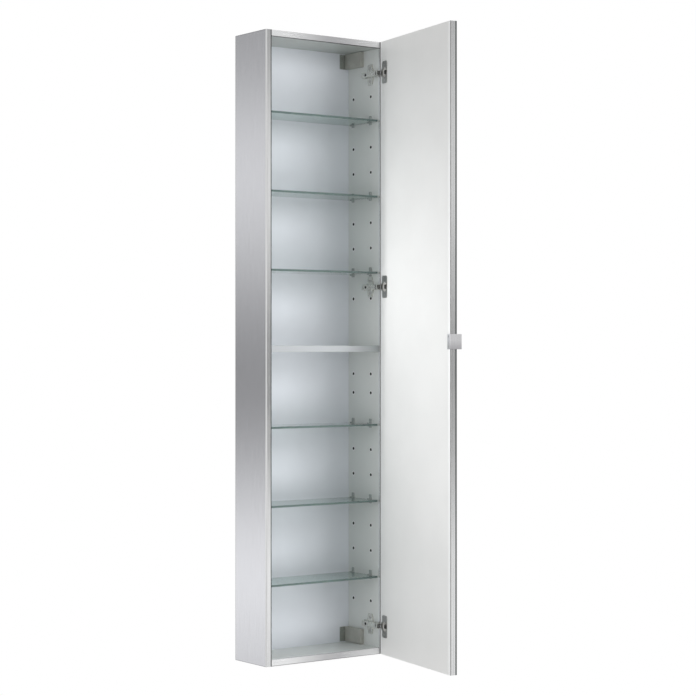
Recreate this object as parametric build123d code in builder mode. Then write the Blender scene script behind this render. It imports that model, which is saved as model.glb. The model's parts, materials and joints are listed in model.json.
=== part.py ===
"""Tall mirror cabinet: board carcass with glass shelves and one mirror door on concealed hinges.

Frame: X to the right, Y towards the wall, Z up. The back of the cabinet lies on the wall at Y = 0 and
mid-height is Z = 0. The door stands open by REST_ANGLE. Millimetres.
"""

import os

from build123d import *

# Carcass
HEIGHT = 1544
WIDTH = 360
DEPTH = 137
BOARD = 16
BACK = 4
RABBET = 8
EDGE_DEPTH = 4
EDGE_ROUND = 3
EDGE_SOFT = 1
INSIDE = WIDTH / 2 - BOARD

# System holes in both sides, on two columns, counted from the grid centre
GRID_Z = -2
GRID_STEP = 192
FRONT_LINE = 37
REAR_LINE = 111
HOLE_RADIUS = 2.5
HOLE_DEPTH = 10
FREE_ABOVE = (128, 256, 320, 448, 512, 640)
FREE_BELOW = (64, 112, 256, 320, 448, 512, 640)
COLUMNS = (DEPTH - FRONT_LINE, DEPTH - REAR_LINE)
SHELF_HEIGHTS = [GRID_Z + step * GRID_STEP for step in (3, 2, 1, -1, -2, -3)]
FREE_HEIGHTS = [GRID_Z + up for up in FREE_ABOVE] + [GRID_Z - down for down in FREE_BELOW]

# Glass shelves and their supports
GLASS = 5
GLASS_GAP = 3
GLASS_SETBACK = 4.5
GLASS_REAR = 11
GLASS_BEVEL = 0.5
PEG_LENGTH = 8
CLIP_WIDTH = 8
CLIP_TOP = 14.5
CLIP_BOTTOM = 8
LIP_REACH = 6
LIP_THICK = 2

# Middle shelf
MIDDLE_SETBACK = 1

# Dowels, and wood screws that hold the back
DOWEL_RADIUS = 4
DOWEL_IN_SIDE = 11
DOWEL_IN_BOARD = 19
DOWEL_SLACK = 1
DOWEL_LINES = (34, 104)
BACK_SCREW = {"shank": 1.75, "length": 16, "head": 3.5, "head_height": 1.9, "drive": 2.4}
BACK_SCREW_STEP = 290
BACK_SCREW_ROWS = 5

# Wall hangers in the four rear corners
HANGER_HEIGHT = 38
HANGER_Z = HEIGHT / 2 - 36
HANGER_PROUD = 11
HANGER_FRONT = DEPTH - 67
COVER_WALL = 1
COVER_FIT = 0.2
CUTOUT_WIDTH = 28
POCKET_DEPTH = 14
POCKET_WIDTH = 7.5
POCKET_HEIGHT = 28
WALL_PLATE = 2
WALL_PLATE_EDGE = 0.2
WALL_HOLE_X = INSIDE - 16
WALL_HOLE_RADIUS = 2.6
WALL_HOLE_SINK = 4.6
HOOK_X = INSIDE - 5.5
HOOK_WIDTH = 7
LIP_FRONT = 6
LIP_WALL = 1.5
LIP_DROP = 8
LIP_TOP = 6
CLAW_LENGTH = 8
CLAW_THICK = 1.5
CLAW_GAP = 0.5
HOOK_STEM = 2
ADJUSTER_RADIUS = 2.5
ADJUSTER_LENGTH = 48
ADJUSTER_SOCKET = 1.5
NUT_HALF = 3
HANGER_SCREW = {"shank": 1.75, "length": 18, "head": 3.5, "head_height": 1.9, "drive": 2.4}
HANGER_SCREW_AT = ((28, 11), (60, -11))
HANGER_PILOT_SPARE = 2

# Door and its swing
DOOR_WIDTH = 358
DOOR_HEIGHT = 1543
DOOR_GAP = 2
DOOR_BOARD = 13.7
GLUE = 0.3
GLUE_INSET = 3
MIRROR = 4
REST_ANGLE = 80
PIVOT_FROM_SIDE = 7
PIVOT_FROM_FRONT = 12
HINGE_EDGE = PIVOT_FROM_SIDE - (WIDTH - DOOR_WIDTH) / 2
FREE_EDGE = HINGE_EDGE - DOOR_WIDTH
BACK_FACE = PIVOT_FROM_FRONT - DOOR_GAP
BOARD_FACE = BACK_FACE - DOOR_BOARD
MIRROR_BACK = BOARD_FACE - GLUE
PROFILE_WALL = 1.4
PROFILE_LIP = 9
LIP_DEPTH = 0.8
PROFILE_ROUND = 0.6
GROOVES = ((6.8, 1.6), (1.4, 0.8))
GROOVE_DEPTH = 0.7

# Handle over the free edge of the door
HANDLE_Z = 15
HANDLE_HEIGHT = 36
HANDLE_THICK = 2
HANDLE_GRIP = 12
HANDLE_FLANGE = 12
HANDLE_FLANGE_THICK = 1.5
HANDLE_SCREW = {"shank": 1.2, "length": 10, "head": 2.2, "head_height": 1.1, "drive": 1.5}
HANDLE_SCREW_SPACING = 24

# Concealed hinges
HINGE_HEIGHTS = (693, 154, -700)
HINGE_LINE = DEPTH - FRONT_LINE
CUP_RADIUS = 13
CUP_DEPTH = 11
CUP_WALL = 0.8
CUP_CENTRE = 22.5 - HINGE_EDGE
FLANGE_WIDTH = 26
FLANGE_HEIGHT = 56
FLANGE_THICK = 1.2
FLANGE_ROUND = 6
TONGUE_REACH = 5
TONGUE_ROOT = 11.5
TONGUE_TIP = 7
CUP_SCREW = {"shank": 1.75, "length": 11, "head": 3.3, "head_height": 1.0, "drive": 2.4}
CUP_SCREW_SPACING = 40
PLATE_RISE = 3
WING_HEIGHT = 51
WING_ROOT = 26
WING_TIP = 15
WING_WAIST = 13
WING_ROUND = 3.75
PLATE_SCREW = {"shank": 2.0, "length": 14, "head": 3.8, "head_height": 2.0, "drive": 2.8}
PLATE_SCREW_SPACING = 32
ARM_TOP = 10.5
ARM_HALF = 6.5
ARM_WALL = 1.5
ARM_REAR = 62
ARM_NOSE = 6
NOSE_NOTCH = 3
ARM_SLOT = (14, 17)
ARM_SLOT_HALF = 4.8
REAR_SCREW_FROM_FRONT = 46
DEPTH_SCREW_FROM_FRONT = 27
ARM_SCREW = {"shank": 2.4, "length": 9.5, "head": 3.6, "head_height": 1.2, "drive": 2.6}
PIN_FIT = 0.05

# Hinge links, seen from above from the door's swing axis: sideways first, then towards the wall
ARM_PIN = (-15.9, 9.5)
ARM_PIN_RADIUS = 1.25
OUTER_LENGTH = 10
OUTER_ANGLE = -86
OUTER_PLATES = (3.1, 4.6)
OUTER_EYE = 1.9
OUTER_TIP = 0.9
OUTER_WEB = ((4.2, 7.5), (-1.2, -0.4))
CUP_PIN = (-15.5, 1.6)
CUP_PIN_RADIUS = 1.0
CUP_PIN_HALF = 12.6
INNER_LENGTH = 9.5
INNER_EYE = 1.6
INNER_THICK = 1.2
INNER_ROOT = 8
INNER_TIP = 4.5

POINT_RADIUS = 0.3
DRIVE_DEPTH = 0.7
DRIVE_WIDTH = 1 / 3
CUT = Mode.SUBTRACT
HIGH = (Align.CENTER, Align.CENTER, Align.MAX)
LOW = (Align.CENTER, Align.CENTER, Align.MIN)

# Faces that pieces are set on. On the side face the first axis runs from the wall to the front.
RIGHT_FACE = Plane(origin=(INSIDE, 0, 0), x_dir=(0, -1, 0), z_dir=(-1, 0, 0))
WALL_FACE = Plane(origin=(0, 0, 0), x_dir=(-1, 0, 0), z_dir=(0, 1, 0))
SWING = Plane(origin=(WIDTH / 2 - PIVOT_FROM_SIDE, -DEPTH - PIVOT_FROM_FRONT, 0))
DOOR = SWING.rotated((0, 0, REST_ANGLE))
# The first axis on the back of the door runs from the swing axis to the free edge.
DOOR_BACK = Plane(origin=DOOR.from_local_coords((0, BACK_FACE, 0)), x_dir=-DOOR.x_dir, z_dir=DOOR.y_dir)

BOARD_HEIGHTS = (-(HEIGHT - BOARD) / 2, GRID_Z, (HEIGHT - BOARD) / 2)
GRID_PLACES = [(column, z) for column in COLUMNS for z in SHELF_HEIGHTS + FREE_HEIGHTS]
DOWEL_PLACES = [(line, z) for line in DOWEL_LINES for z in BOARD_HEIGHTS]
BACK_ROWS = [(row - (BACK_SCREW_ROWS - 1) / 2) * BACK_SCREW_STEP for row in range(BACK_SCREW_ROWS)]
BACK_PLACES = [(side * (INSIDE + BOARD / 4), z) for side in (-1, 1) for z in BACK_ROWS]
HANGER_HEIGHTS = (-HANGER_Z, HANGER_Z)
HANGER_PILOT = HANGER_SCREW["length"] - HANGER_PROUD + HANGER_PILOT_SPARE


def save(builder, label):
    """Names one finished piece and writes it to its own file."""
    builder.part.label = label
    export_step(builder.part, f"parts/{label}.step")


def block(x, y, z, mode=Mode.ADD):
    """A box given by its two limits on each axis, in the plane of the builder."""
    with Locations(((x[0] + x[1]) / 2, (y[0] + y[1]) / 2, (z[0] + z[1]) / 2)):
        Box(abs(x[1] - x[0]), abs(y[1] - y[0]), abs(z[1] - z[0]), mode=mode)


def screw(shank, length, head, head_height, drive):
    """A countersunk cross-head screw at each place, its head flush with the plane."""
    Cone(shank, head, head_height, align=HIGH)
    Cylinder(shank, length - shank, align=HIGH)
    with Locations((0, 0, shank - length)):
        Cone(POINT_RADIUS, shank, shank, align=HIGH)
    for turn in (0, 90):
        Box(
            2 * drive,
            drive * DRIVE_WIDTH,
            head_height * DRIVE_DEPTH,
            rotation=(0, 0, turn),
            align=HIGH,
            mode=CUT,
        )


def screw_seat(shank, length, head, head_height, drive):
    """The countersunk seat that the same screw is driven into."""
    Cone(shank, head, head_height, align=HIGH, mode=CUT)
    Cylinder(shank, length, align=HIGH, mode=CUT)


def either_side(centres, spacing):
    """The two heights either side of each centre."""
    return [z + side * spacing / 2 for z in centres for side in (-1, 1)]


PLATE_SCREW_PLACES = [(HINGE_LINE, z) for z in either_side(HINGE_HEIGHTS, PLATE_SCREW_SPACING)]
CUP_SCREW_PLACES = [(CUP_CENTRE, z) for z in either_side(HINGE_HEIGHTS, CUP_SCREW_SPACING)]
HANGER_SCREW_PLACES = [(y, z + up) for y, up in HANGER_SCREW_AT for z in HANGER_HEIGHTS]
HANDLE_SCREW_PLACES = [
    (-FREE_EDGE - HANDLE_FLANGE / 2, z) for z in either_side([HANDLE_Z], HANDLE_SCREW_SPACING)
]
ARM_SCREW_PLACES = [
    (DEPTH - back, z) for back in (REAR_SCREW_FROM_FRONT, DEPTH_SCREW_FROM_FRONT) for z in HINGE_HEIGHTS
]

os.makedirs("parts", exist_ok=True)

# ---------------------------------------------------------------- carcass boards

with BuildPart() as side_blank:
    block((INSIDE, WIDTH / 2), (EDGE_DEPTH - DEPTH, 0), (-HEIGHT / 2, HEIGHT / 2))
    block((INSIDE, INSIDE + RABBET), (-BACK, 0), (-HEIGHT / 2, HEIGHT / 2), CUT)
    with Locations(RIGHT_FACE):
        with Locations(*GRID_PLACES):
            Cylinder(HOLE_RADIUS, HOLE_DEPTH, align=HIGH, mode=CUT)
        with Locations(*DOWEL_PLACES):
            Cylinder(DOWEL_RADIUS, DOWEL_IN_SIDE + DOWEL_SLACK, align=HIGH, mode=CUT)
        with Locations(*HANGER_SCREW_PLACES):
            Cylinder(HANGER_SCREW["shank"], HANGER_PILOT, align=HIGH, mode=CUT)
    with Locations(WALL_FACE):
        with Locations(*[(-x, z) for x, z in BACK_PLACES if x > 0]):
            Cylinder(BACK_SCREW["shank"], BACK_SCREW["length"], align=HIGH, mode=CUT)

with BuildPart() as left_side_panel:
    mirror(side_blank.part, about=Plane.YZ)
save(left_side_panel, "left_side_panel")

with BuildPart() as right_side_panel:
    add(side_blank.part)
    with Locations(RIGHT_FACE):
        with Locations(*PLATE_SCREW_PLACES):
            Cylinder(PLATE_SCREW["shank"], PLATE_SCREW["length"], align=HIGH, mode=CUT)
save(right_side_panel, "right_side_panel")

CROSS_BOARDS = {"bottom_panel": 0, "middle_shelf": MIDDLE_SETBACK, "top_panel": 0}
for (name, setback), centre in zip(CROSS_BOARDS.items(), BOARD_HEIGHTS):
    with BuildPart() as cross_board:
        block(
            (-INSIDE, INSIDE),
            (setback + EDGE_DEPTH - DEPTH, -BACK),
            (centre - BOARD / 2, centre + BOARD / 2),
        )
        with Locations(*[(side * INSIDE, -line, centre) for side in (-1, 1) for line in DOWEL_LINES]):
            Cylinder(DOWEL_RADIUS, 2 * (DOWEL_IN_BOARD + DOWEL_SLACK), rotation=(0, 90, 0), mode=CUT)
    save(cross_board, name)

with BuildPart() as panel_dowels:
    middle = INSIDE + (DOWEL_IN_SIDE - DOWEL_IN_BOARD) / 2
    with Locations(*[(middle, -line, z) for line, z in DOWEL_PLACES]):
        Cylinder(DOWEL_RADIUS, DOWEL_IN_SIDE + DOWEL_IN_BOARD, rotation=(0, 90, 0))
    mirror(about=Plane.YZ)
save(panel_dowels, "panel_dowels")

with BuildPart() as back_panel:
    block((-INSIDE - RABBET, INSIDE + RABBET), (-BACK, 0), (-HEIGHT / 2, HEIGHT / 2))
    for side in (-1, 1):
        for z in HANGER_HEIGHTS:
            block(
                (side * INSIDE, side * (INSIDE - CUTOUT_WIDTH)),
                (-BACK, 0),
                (z - HANGER_HEIGHT / 2, z + HANGER_HEIGHT / 2),
                CUT,
            )
    with Locations(WALL_FACE):
        with Locations(*BACK_PLACES):
            screw_seat(**BACK_SCREW)
save(back_panel, "back_panel")

with BuildPart(WALL_FACE) as back_screws:
    with Locations(*BACK_PLACES):
        screw(**BACK_SCREW)
save(back_screws, "back_screws")

# ---------------------------------------------------------------- front edge profiles

for name, side in (("left_front_edge", -1), ("right_front_edge", 1)):
    with BuildPart() as side_edge:
        with BuildSketch(Plane.XY.offset(-HEIGHT / 2)):
            with Locations((side * (INSIDE + BOARD / 2), EDGE_DEPTH / 2 - DEPTH)):
                Rectangle(BOARD, EDGE_DEPTH)
        extrude(amount=HEIGHT)
        front = side_edge.edges().filter_by(Axis.Z).group_by(Axis.Y)[0].sort_by(Axis.X)
        fillet(front[-1] if side > 0 else front[0], EDGE_ROUND)
        front = side_edge.edges().filter_by(Axis.Z).group_by(Axis.X)[0 if side > 0 else -1].sort_by(Axis.Y)
        fillet(front[0], EDGE_SOFT)
    save(side_edge, name)

EDGE_NAMES = ("bottom_front_edge", "middle_shelf_edge", "top_front_edge")
for name, setback, centre in zip(EDGE_NAMES, CROSS_BOARDS.values(), BOARD_HEIGHTS):
    with BuildPart() as cross_edge:
        block(
            (-INSIDE, INSIDE),
            (setback - DEPTH, setback - DEPTH + EDGE_DEPTH),
            (centre - BOARD / 2, centre + BOARD / 2),
        )
        fillet(cross_edge.edges().filter_by(Axis.X).group_by(Axis.Y)[0], EDGE_SOFT)
    save(cross_edge, name)

# ---------------------------------------------------------------- glass shelves on clips

for number, z in enumerate(SHELF_HEIGHTS, start=1):
    with BuildPart() as glass_shelf:
        block(
            (GLASS_GAP - INSIDE, INSIDE - GLASS_GAP),
            (GLASS_SETBACK - DEPTH, -GLASS_REAR),
            (z - GLASS / 2, z + GLASS / 2),
        )
        chamfer(glass_shelf.edges().filter_by(Axis.X), GLASS_BEVEL)
    save(glass_shelf, f"glass_shelf_{number}")

    with BuildPart(RIGHT_FACE) as shelf_supports:
        with Locations(*[(column, z) for column in COLUMNS]):
            Cylinder(HOLE_RADIUS, PEG_LENGTH, align=HIGH)
            with Locations((0, (CLIP_TOP - CLIP_BOTTOM) / 2)):
                Box(CLIP_WIDTH, CLIP_TOP + CLIP_BOTTOM, GLASS_GAP, align=LOW)
            for height in (-GLASS / 2 - LIP_THICK / 2, GLASS / 2 + LIP_THICK / 2):
                with Locations((0, height)):
                    Box(CLIP_WIDTH, LIP_THICK, GLASS_GAP + LIP_REACH, align=LOW)
        fillet(shelf_supports.edges().filter_by(Axis.X).group_by(Axis.Z)[-1], GLASS_GAP / 2)
        mirror(about=Plane.YZ)
    save(shelf_supports, f"shelf_supports_{number}")

# ---------------------------------------------------------------- wall hangers

HANGER_BACK = -BACK
with BuildPart() as hanger_bodies:
    for z in HANGER_HEIGHTS:
        half = HANGER_HEIGHT / 2 - COVER_WALL - COVER_FIT
        inner = INSIDE - HANGER_PROUD + COVER_WALL + COVER_FIT
        block((inner, INSIDE), (COVER_WALL + COVER_FIT - HANGER_FRONT, HANGER_BACK), (z - half, z + half))
        block(
            (HOOK_X - POCKET_WIDTH / 2, HOOK_X + POCKET_WIDTH / 2),
            (-POCKET_DEPTH - BACK, HANGER_BACK),
            (z - POCKET_HEIGHT / 2, z + POCKET_HEIGHT / 2),
            CUT,
        )
        with Locations((HOOK_X, -POCKET_DEPTH - BACK, z)):
            Cylinder(ADJUSTER_RADIUS, HANGER_FRONT, rotation=(90, 0, 0), align=LOW, mode=CUT)
    with Locations(RIGHT_FACE.offset(HANGER_PROUD - COVER_WALL - COVER_FIT)):
        with Locations(*HANGER_SCREW_PLACES):
            screw_seat(**HANGER_SCREW)
    mirror(about=Plane.YZ)
save(hanger_bodies, "hanger_bodies")

with BuildPart() as hanger_covers:
    for z in HANGER_HEIGHTS:
        half = HANGER_HEIGHT / 2
        block((INSIDE - HANGER_PROUD, INSIDE), (-HANGER_FRONT, HANGER_BACK), (z - half, z + half))
        edges = hanger_covers.edges().filter_by(Axis.Z).group_by(Axis.X)[0].group_by(Axis.Y)[0]
        fillet(edges.filter_by(lambda edge: abs(edge.center().Z - z) < half), COVER_WALL)
        block(
            (INSIDE - HANGER_PROUD + COVER_WALL, INSIDE),
            (COVER_WALL - HANGER_FRONT, HANGER_BACK),
            (z - half + COVER_WALL, z + half - COVER_WALL),
            CUT,
        )
    mirror(about=Plane.YZ)
save(hanger_covers, "hanger_covers")

with BuildPart(RIGHT_FACE.offset(HANGER_PROUD - COVER_WALL - COVER_FIT)) as hanger_screws:
    with Locations(*HANGER_SCREW_PLACES):
        screw(**HANGER_SCREW)
    mirror(about=Plane.YZ)
save(hanger_screws, "hanger_screws")

HOOK_SPAN = (HOOK_X - HOOK_WIDTH / 2, HOOK_X + HOOK_WIDTH / 2)
with BuildPart() as hanger_hooks:
    stem_back = -LIP_FRONT - CLAW_GAP
    claw_back = -WALL_PLATE - CLAW_GAP
    for z in HANGER_HEIGHTS:
        block(HOOK_SPAN, (stem_back - HOOK_STEM, stem_back), (z - NUT_HALF, z + LIP_TOP + HOOK_STEM))
        block(HOOK_SPAN, (stem_back, claw_back), (z + LIP_TOP, z + LIP_TOP + HOOK_STEM))
        block(HOOK_SPAN, (claw_back - CLAW_THICK, claw_back), (z + LIP_TOP - CLAW_LENGTH, z + LIP_TOP))
        block(HOOK_SPAN, (-BACK - POCKET_DEPTH, stem_back - HOOK_STEM), (z - NUT_HALF, z + NUT_HALF))
    mirror(about=Plane.YZ)
save(hanger_hooks, "hanger_hooks")

with BuildPart() as hanger_adjusters:
    with Locations(*[(HOOK_X, -BACK - POCKET_DEPTH, z) for z in HANGER_HEIGHTS]):
        Cylinder(ADJUSTER_RADIUS, ADJUSTER_LENGTH, rotation=(90, 0, 0), align=LOW)
    with BuildSketch(Plane.XZ.offset(BACK + POCKET_DEPTH + ADJUSTER_LENGTH)):
        with Locations(*[(HOOK_X, z) for z in HANGER_HEIGHTS]):
            RegularPolygon(ADJUSTER_SOCKET, 6)
    extrude(amount=-ADJUSTER_RADIUS, mode=CUT)
    mirror(about=Plane.YZ)
save(hanger_adjusters, "hanger_adjusters")

with BuildPart() as wall_plates:
    for z in HANGER_HEIGHTS:
        half = HANGER_HEIGHT / 2 - WALL_PLATE_EDGE
        block(
            (INSIDE - CUTOUT_WIDTH + WALL_PLATE_EDGE, INSIDE - WALL_PLATE_EDGE),
            (-WALL_PLATE, 0),
            (z - half, z + half),
        )
        block(HOOK_SPAN, (-LIP_FRONT, -WALL_PLATE), (z - LIP_DROP, z - LIP_DROP + WALL_PLATE))
        block(HOOK_SPAN, (-LIP_FRONT, LIP_WALL - LIP_FRONT), (z - LIP_DROP, z + LIP_TOP))
    with Locations(Plane.XZ.offset(WALL_PLATE)):
        with Locations(*[(WALL_HOLE_X, z) for z in HANGER_HEIGHTS]):
            Cone(WALL_HOLE_RADIUS, WALL_HOLE_SINK, WALL_PLATE / 2, align=HIGH, mode=CUT)
            Cylinder(WALL_HOLE_RADIUS, WALL_PLATE, align=HIGH, mode=CUT)
    mirror(about=Plane.YZ)
save(wall_plates, "wall_plates")

# ---------------------------------------------------------------- hinges, cabinet side

HALF_WING = [
    (WING_ROOT / 2, WING_WAIST / 2),
    (WING_TIP / 2, WING_HEIGHT / 2),
    (-WING_TIP / 2, WING_HEIGHT / 2),
    (-WING_ROOT / 2, WING_WAIST / 2),
]
NOSE = DEPTH + PIVOT_FROM_FRONT - ARM_NOSE
SLOT = [DEPTH + PIVOT_FROM_FRONT - v for v in ARM_SLOT]

with BuildPart() as hinge_mounting_plates:
    with BuildSketch(RIGHT_FACE) as plate_outline:
        with Locations(*[(HINGE_LINE, z) for z in HINGE_HEIGHTS]):
            Polygon(*HALF_WING, *[(-a, -b) for a, b in HALF_WING], align=None)
        corners = plate_outline.vertices().filter_by(
            lambda corner: any(abs(abs(corner.Z - z) - WING_HEIGHT / 2) < EDGE_SOFT for z in HINGE_HEIGHTS)
        )
        fillet(corners, WING_ROUND)
        with Locations(*[(HINGE_LINE - WING_ROOT / 2, z) for z in HINGE_HEIGHTS]):
            Rectangle(WING_ROOT, WING_WAIST + 2 * ARM_WALL)
    extrude(amount=PLATE_RISE)
    with Locations(RIGHT_FACE.offset(PLATE_RISE)):
        with Locations(*PLATE_SCREW_PLACES):
            screw_seat(**PLATE_SCREW)
    with Locations(RIGHT_FACE.offset(ARM_TOP)):
        with Locations(*ARM_SCREW_PLACES):
            screw_seat(**ARM_SCREW)
save(hinge_mounting_plates, "hinge_mounting_plates")

with BuildPart(RIGHT_FACE.offset(PLATE_RISE)) as hinge_plate_screws:
    with Locations(*PLATE_SCREW_PLACES):
        screw(**PLATE_SCREW)
save(hinge_plate_screws, "hinge_plate_screws")

ARM_PIN_PLACES = [
    (DEPTH + PIVOT_FROM_FRONT - ARM_PIN[1], z, PIVOT_FROM_SIDE - BOARD - ARM_PIN[0]) for z in HINGE_HEIGHTS
]
CHANNEL = ARM_HALF - ARM_WALL

with BuildPart() as hinge_arms:
    with Locations(RIGHT_FACE):
        for z in HINGE_HEIGHTS:
            block((DEPTH - ARM_REAR, NOSE), (z - ARM_HALF, z + ARM_HALF), (PLATE_RISE, ARM_TOP))
    fillet(hinge_arms.edges().filter_by(Axis.Y).group_by(Axis.X)[0], EDGE_SOFT)
    with Locations(RIGHT_FACE):
        for z in HINGE_HEIGHTS:
            hollow = (DEPTH - ARM_REAR + ARM_WALL, NOSE)
            block(hollow, (z - CHANNEL, z + CHANNEL), (PLATE_RISE, ARM_TOP - ARM_WALL), CUT)
            block(SLOT, (z - ARM_SLOT_HALF, z + ARM_SLOT_HALF), (PLATE_RISE, ARM_TOP), CUT)
            block((NOSE - NOSE_NOTCH, NOSE), (z - CHANNEL, z + CHANNEL), (PLATE_RISE, ARM_TOP), CUT)
            relief = (DEPTH - EDGE_DEPTH, NOSE)
            block(relief, (z - ARM_HALF, z + ARM_HALF), (PLATE_RISE, PLATE_RISE + ARM_WALL), CUT)
        with Locations(*ARM_PIN_PLACES):
            Cylinder(ARM_PIN_RADIUS, 2 * ARM_HALF, rotation=(90, 0, 0), mode=CUT)
    with Locations(RIGHT_FACE.offset(ARM_TOP)):
        with Locations(*ARM_SCREW_PLACES):
            screw_seat(**ARM_SCREW)
save(hinge_arms, "hinge_arms")

with BuildPart(RIGHT_FACE.offset(ARM_TOP)) as hinge_arm_screws:
    with Locations(*ARM_SCREW_PLACES):
        screw(**ARM_SCREW)
save(hinge_arm_screws, "hinge_arm_screws")

with BuildPart(RIGHT_FACE) as hinge_arm_pins:
    with Locations(*ARM_PIN_PLACES):
        Cylinder(ARM_PIN_RADIUS, 2 * ARM_HALF, rotation=(90, 0, 0))
save(hinge_arm_pins, "hinge_arm_pins")

# ---------------------------------------------------------------- hinges, links

OUTER_LINK = Plane(origin=SWING.from_local_coords((*ARM_PIN, 0))).rotated((0, 0, OUTER_ANGLE))

with BuildPart(OUTER_LINK) as hinge_outer_links:
    for z in HINGE_HEIGHTS:
        for side in (-1, 1):
            low, high = sorted(side * level for level in OUTER_PLATES)
            with BuildSketch(OUTER_LINK.offset(z + low)):
                Circle(OUTER_EYE)
                with Locations((OUTER_LENGTH, 0)):
                    Circle(OUTER_TIP)
                make_hull()
                Circle(ARM_PIN_RADIUS + PIN_FIT, mode=CUT)
            extrude(amount=high - low)
        block(*OUTER_WEB, (z - OUTER_PLATES[1], z + OUTER_PLATES[1]))
save(hinge_outer_links, "hinge_outer_links")

CUP_PIN_AXIS = Plane(origin=DOOR.from_local_coords((*CUP_PIN, 0)), x_dir=DOOR.y_dir, z_dir=(0, 0, 1))
INNER_FACE = Plane(origin=CUP_PIN_AXIS.origin, x_dir=CUP_PIN_AXIS.x_dir, z_dir=CUP_PIN_AXIS.y_dir)

with BuildPart(CUP_PIN_AXIS) as hinge_inner_links:
    with Locations(*[(0, 0, z) for z in HINGE_HEIGHTS]):
        Cylinder(INNER_EYE, 2 * INNER_ROOT)
    with BuildSketch(INNER_FACE.offset(-INNER_THICK / 2)):
        with Locations(*[(0, -z) for z in HINGE_HEIGHTS]):
            Polygon(
                (0, -INNER_ROOT),
                (0, INNER_ROOT),
                (INNER_LENGTH, INNER_TIP),
                (INNER_LENGTH, -INNER_TIP),
                align=None,
            )
    extrude(amount=INNER_THICK)
    with Locations(*[(0, 0, z) for z in HINGE_HEIGHTS]):
        Cylinder(CUP_PIN_RADIUS + PIN_FIT, 2 * INNER_ROOT, mode=CUT)
save(hinge_inner_links, "hinge_inner_links")

with BuildPart(CUP_PIN_AXIS) as hinge_cup_pins:
    with Locations(*[(0, 0, z) for z in HINGE_HEIGHTS]):
        Cylinder(CUP_PIN_RADIUS, 2 * CUP_PIN_HALF)
save(hinge_cup_pins, "hinge_cup_pins")

# ---------------------------------------------------------------- hinges, door side

with BuildPart() as hinge_cups:
    with BuildSketch(DOOR_BACK):
        with Locations(*[(CUP_CENTRE, z) for z in HINGE_HEIGHTS]):
            RectangleRounded(FLANGE_WIDTH, FLANGE_HEIGHT, FLANGE_ROUND)
            Polygon(
                (-FLANGE_WIDTH / 2, TONGUE_ROOT),
                (-FLANGE_WIDTH / 2, -TONGUE_ROOT),
                (-FLANGE_WIDTH / 2 - TONGUE_REACH, -TONGUE_TIP),
                (-FLANGE_WIDTH / 2 - TONGUE_REACH, TONGUE_TIP),
                align=None,
            )
    extrude(amount=FLANGE_THICK)
    with Locations(DOOR_BACK):
        with Locations(*[(CUP_CENTRE, z) for z in HINGE_HEIGHTS]):
            Cylinder(CUP_RADIUS, CUP_DEPTH, align=HIGH)
            with Locations((0, 0, CUP_WALL - CUP_DEPTH)):
                Cylinder(CUP_RADIUS - CUP_WALL, CUP_DEPTH + FLANGE_THICK, align=LOW, mode=CUT)
    with Locations(DOOR_BACK.offset(FLANGE_THICK)):
        with Locations(*CUP_SCREW_PLACES):
            screw_seat(**CUP_SCREW)
    with Locations(CUP_PIN_AXIS):
        with Locations(*[(0, 0, z) for z in HINGE_HEIGHTS]):
            Cylinder(CUP_PIN_RADIUS, 2 * CUP_PIN_HALF, mode=CUT)
save(hinge_cups, "hinge_cups")

with BuildPart(DOOR_BACK.offset(FLANGE_THICK)) as hinge_cup_screws:
    with Locations(*CUP_SCREW_PLACES):
        screw(**CUP_SCREW)
save(hinge_cup_screws, "hinge_cup_screws")

# ---------------------------------------------------------------- door

FULL_HEIGHT = (-DOOR_HEIGHT / 2, DOOR_HEIGHT / 2)
PROFILE_SIDES = {"door_free_edge_profile": (FREE_EDGE, 1), "door_hinge_edge_profile": (HINGE_EDGE, -1)}

with BuildPart() as door_board:
    with Locations(DOOR):
        block((FREE_EDGE + PROFILE_WALL, HINGE_EDGE - PROFILE_WALL), (BOARD_FACE, BACK_FACE), FULL_HEIGHT)
        for edge, inward in PROFILE_SIDES.values():
            lip = (BACK_FACE - LIP_DEPTH, BACK_FACE)
            block((edge, edge + inward * PROFILE_LIP), lip, FULL_HEIGHT, CUT)
    with Locations(DOOR_BACK):
        with Locations(*[(CUP_CENTRE, z) for z in HINGE_HEIGHTS]):
            Cylinder(CUP_RADIUS, CUP_DEPTH, align=HIGH, mode=CUT)
        with Locations(*CUP_SCREW_PLACES):
            Cylinder(CUP_SCREW["shank"], CUP_SCREW["length"], align=HIGH, mode=CUT)
        with Locations(*HANDLE_SCREW_PLACES):
            Cylinder(HANDLE_SCREW["shank"], HANDLE_SCREW["length"], align=HIGH, mode=CUT)
save(door_board, "door_board")

with BuildPart(DOOR) as mirror_adhesive:
    block((FREE_EDGE + GLUE_INSET, HINGE_EDGE - GLUE_INSET), (MIRROR_BACK, BOARD_FACE), FULL_HEIGHT)
save(mirror_adhesive, "mirror_adhesive")

with BuildPart(DOOR) as door_mirror:
    block((FREE_EDGE, HINGE_EDGE), (MIRROR_BACK - MIRROR, MIRROR_BACK), FULL_HEIGHT)
    front_face = door_mirror.faces().sort_by(Axis((0, 0, 0), tuple(DOOR.y_dir)))[0]
    chamfer(front_face.edges(), GLASS_BEVEL)
save(door_mirror, "door_mirror")

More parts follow.
